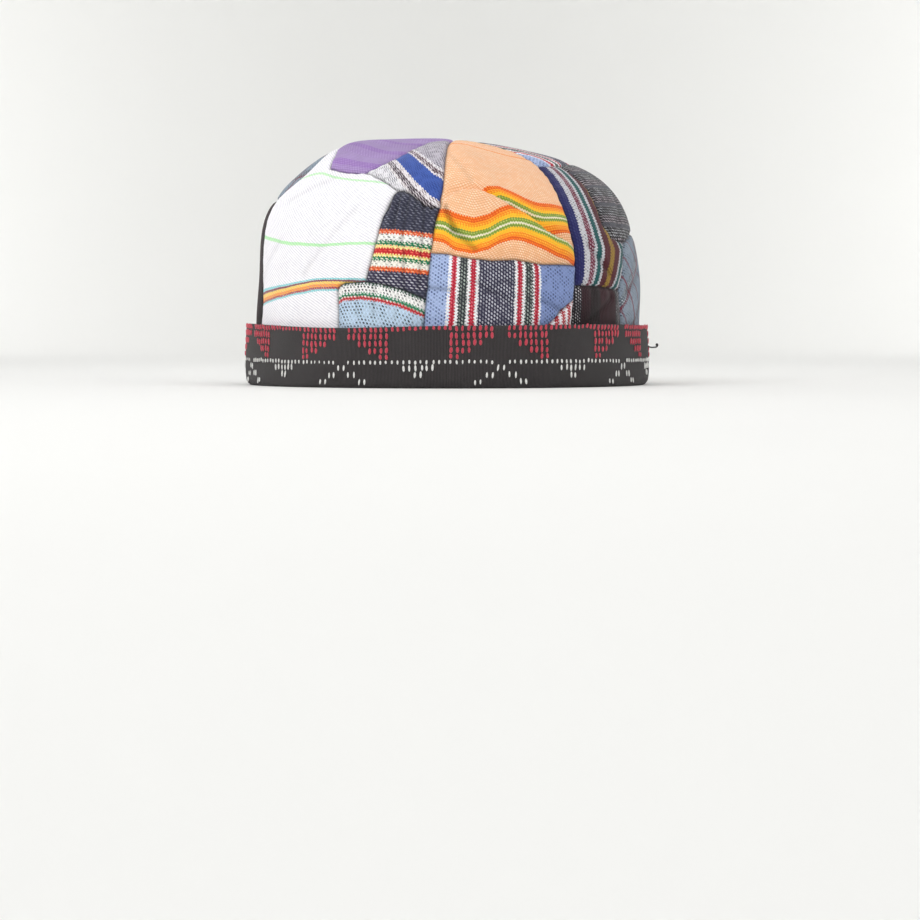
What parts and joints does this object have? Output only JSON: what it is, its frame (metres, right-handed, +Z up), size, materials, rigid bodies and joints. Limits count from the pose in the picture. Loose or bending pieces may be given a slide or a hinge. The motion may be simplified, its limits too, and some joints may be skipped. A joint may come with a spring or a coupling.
{
  "type": "skullcap",
  "caption": "Close-fitting domed cap of sewn cloth patches in upright gores, on a dark ribbed knitted band folded up as a cuff",
  "frame": {"origin": "the middle of the cuff, on the plane of its lower edge", "axes": "+Z up to the crown, -Y the front, +X the right-hand side seen from the front"},
  "size_m": [0.1942, 0.2048, 0.1182],
  "materials": {
    "cuff_knit": "dark ribbed knit with red and white floats",
    "cloth_white": "white diagonal twill",
    "cloth_pale_blue": "pale blue and white dotted weave",
    "cloth_bands": "navy weave with coloured bands",
    "cloth_lilac": "mottled lilac weave",
    "cloth_blue_twill": "white diagonal weave with a blue band",
    "cloth_orange": "peach weave with orange and green zigzag stripes",
    "cloth_upright": "pale blue and navy weave with red and white stripes",
    "cloth_corner": "red and white weave",
    "cloth_narrow": "dark weave with narrow stripes",
    "cloth_maroon": "dark maroon weave",
    "cloth_black_white": "black and white diagonal weave",
    "cloth_plaid": "pale plaid weave with burgundy lines"
  },
  "bodies": {
    "root": {"cuff": "cuff_knit", "front_left_white": "cloth_white", "front_left_pale_blue": "cloth_pale_blue", "front_left_bands": "cloth_bands", "front_left_blue_twill": "cloth_blue_twill", "front_left_lilac": "cloth_lilac", "front_right_orange": "cloth_orange", "front_right_upright": "cloth_upright", "front_right_corner": "cloth_corner", "right_maroon": "cloth_maroon", "right_narrow_stripes": "cloth_narrow", "right_plaid": "cloth_plaid", "right_black_white": "cloth_black_white", "right_top": "cloth_upright", "back_right_bands": "cloth_bands", "back_right_white": "cloth_white", "back_right_orange": "cloth_orange", "back_low_upright": "cloth_upright", "back_middle_black_white": "cloth_black_white", "back_top_lilac": "cloth_lilac", "back_left_narrow_stripes": "cloth_narrow", "back_left_maroon": "cloth_maroon", "back_left_plaid": "cloth_plaid"}
  },
  "joints": []
}
